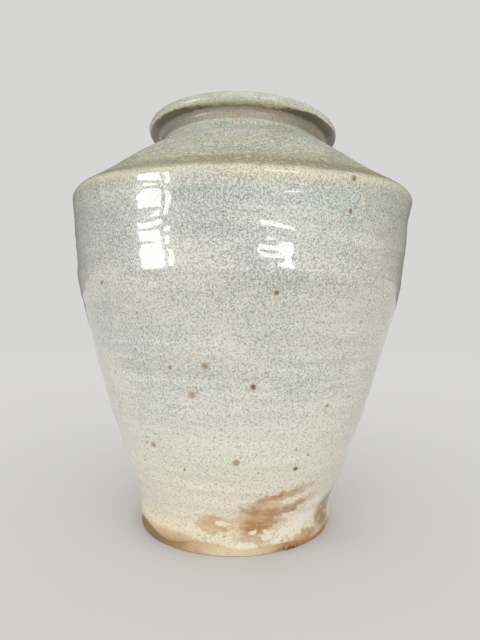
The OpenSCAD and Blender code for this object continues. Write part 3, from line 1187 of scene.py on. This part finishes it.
def floor_mesh(name, reach, rings, columns):
    """A level disc whose rings are closer together near the middle: radius is reach times share squared."""
    radius = reach * (np.arange(1, rings + 1) / rings)[:, None] ** 2
    way = np.arange(columns)[None, :] * FULL_TURN / columns
    grid = np.stack([radius * np.cos(way), radius * np.sin(way), 0 * radius * way], -1).reshape(-1, 3)
    ring = np.arange(rings * columns).reshape(rings, columns)
    lower, upper = ring[:-1], ring[1:]
    quads = np.stack([lower, upper, np.roll(upper, -1, 1), np.roll(lower, -1, 1)], -1).reshape(-1, 4)
    centre = np.full(columns, len(grid))
    middle = np.stack([centre, ring[0], np.roll(ring[0], -1)], -1)
    return new_mesh(name, np.vstack([grid, [[0, 0, 0]]]), quads, middle)


BACKGROUND = paint(214, 214, 213)


def floor_finish():
    """A plain pale floor that keeps shadows near the pot and fades into the background further off."""
    r = Recipe("studio floor")
    near = r.add("ShaderNodeBsdfDiffuse", sockets={"Color": paint(214, 213, 211)})
    far = r.add("ShaderNodeEmission", sockets={"Color": BACKGROUND, "Strength": 1.0})
    distance = r.radius / 1000
    seen = r.add("ShaderNodeLightPath").out("Is Camera Ray")
    share = r.fade(distance, 0.5, 2.2) * seen
    mixed = r.add("ShaderNodeMixShader", sockets={0: share, 1: near, 2: far})
    r.add("ShaderNodeOutputMaterial", sockets={"Surface": mixed})
    return r.material


# The window stands to the left and a little in front, at this distance from the axis.
WINDOW_WAY = np.array([-0.869, -0.498, 0])
WINDOW_AWAY = 1.2
# The window's panes: across from its middle, bottom, width and height.
PANES = (
    (-0.085, 0.02, 0.34, 0.265),
    (-0.085, 0.38, 0.34, 0.1),
    (-0.35, 0.02, 0.07, 0.265),
)
# The lamp stands in front, to the right.
LAMP_PLACE = (0.41, -1.0, 0.35)
LAMP_SIZE = (0.4, 0.15)


def softbox(name, place, size, brightness):
    """An upright rectangular lamp that faces the pot's axis and shows only in glosses. Its power gives
    every part of it this brightness."""
    data = bpy.data.lights.new(name, "AREA")
    data.shape = "RECTANGLE"
    data.size, data.size_y = size
    data.energy = brightness * math.pi * size[0] * size[1]
    lamp = bpy.data.objects.new(name, data)
    lamp.location = place
    lamp.rotation_euler = (math.pi / 2, 0, math.atan2(place[0], -place[1]))
    lamp.visible_camera = lamp.visible_diffuse = False
    bpy.context.scene.collection.objects.link(lamp)


class VASE_OT_studio(Builder, bpy.types.Operator):
    """Adds the pale floor, the soft lights and the camera"""

    bl_idname = "vase.studio"
    bl_label = "Studio"

    def execute(self, context):
        scene, setup = context.scene, context.scene.studio
        floor = bpy.data.objects.new("studio_floor", floor_mesh("studio_floor", 6.0, 24, 96))
        floor.location.z = -0.0001
        floor.data.materials.append(floor_finish())
        scene.collection.objects.link(floor)
        self.light(scene, setup)
        camera = bpy.data.objects.new("camera", bpy.data.cameras.new("camera"))
        camera.data.lens = setup.lens
        camera.data.clip_start = 0.01
        camera.location = (setup.camera_x, -setup.camera_distance, setup.camera_height)
        camera.rotation_euler = (math.pi / 2, 0, 0)
        scene.collection.objects.link(camera)
        scene.camera = camera
        scene.view_settings.view_transform = "Standard"
        return {"FINISHED"}

    def light(self, scene, setup):
        """Soft light from all round, strongest from the front, with a window to the left and a lamp in
        front. Glosses see a dimmer room, and the camera sees the plain background."""
        scene.world = bpy.data.worlds.new("studio")
        scene.world.use_nodes = True
        n = Nodes(scene.world.node_tree)
        way = n.add("ShaderNodeSeparateXYZ", sockets={0: n.add("ShaderNodeTexCoord").out("Generated")})
        front = n.math("MAXIMUM", 0 - way.out(1), 0)
        behind = n.math("MAXIMUM", way.out(1), 0)
        left = n.math("MAXIMUM", 0 - way.out(0), 0)
        rays = n.add("ShaderNodeLightPath")
        soft = (setup.sky + setup.front * front**1.5 + setup.back * behind**1.5) * (1 - 0.05 * left)
        seen_in_gloss = setup.gloss * (1 + front)
        level = soft + (seen_in_gloss - soft) * rays.out("Is Glossy Ray")
        shade = n.mix(level, BACKGROUND, rays.out("Is Camera Ray"))
        n.add("ShaderNodeOutputWorld", sockets={0: n.add("ShaderNodeBackground", sockets={0: shade})})
        across = np.array([WINDOW_WAY[1], -WINDOW_WAY[0], 0])
        for i, (side, bottom, wide, tall) in enumerate(PANES):
            place = WINDOW_AWAY * WINDOW_WAY + side * across + (0, 0, bottom + tall / 2)
            softbox(f"window_{i}", tuple(place), (wide, tall), setup.window)
        softbox("lamp", LAMP_PLACE, LAMP_SIZE, setup.lamp)


class VASE_PT_panel(bpy.types.Panel):
    """Lists the pieces and their settings"""

    bl_label = "Stoneware vase"
    bl_idname = "VASE_PT_panel"
    bl_space_type = "VIEW_3D"
    bl_region_type = "UI"
    bl_category = "Vase"

    def draw(self, context):
        for group in (context.scene.pot_shape, context.scene.pot_hand, context.scene.pot_colours):
            box = self.layout.box()
            for name in group.__annotations__:
                box.prop(group, name)
        for operator in PIECES:
            self.layout.operator(operator.bl_idname)


GROUPS = {"pot_shape": PotShape, "pot_hand": PotHand, "pot_colours": PotColours, "studio": StudioSetup}
PIECES = (
    VASE_OT_foot_ring,
    VASE_OT_floor,
    VASE_OT_sections,
    VASE_OT_wall_glaze,
    VASE_OT_shoulder_glaze,
    VASE_OT_lip_glaze,
    VASE_OT_liner_glaze,
    VASE_OT_studio,
)


def register():
    for kind in (*GROUPS.values(), *PIECES, VASE_PT_panel):
        bpy.utils.register_class(kind)
    for name, group in GROUPS.items():
        setattr(bpy.types.Scene, name, PointerProperty(type=group))


def unregister():
    for name in GROUPS:
        delattr(bpy.types.Scene, name)
    for kind in (VASE_PT_panel, *reversed(PIECES), *reversed(GROUPS.values())):
        bpy.utils.unregister_class(kind)


def main():
    register()
    bpy.ops.vase.foot_ring()
    bpy.ops.vase.floor()
    bpy.ops.vase.sections()
    bpy.ops.vase.wall_glaze()
    bpy.ops.vase.shoulder_glaze()
    bpy.ops.vase.lip_glaze()
    bpy.ops.vase.liner_glaze()
    bpy.ops.vase.studio()


if __name__ == "__main__":
    main()
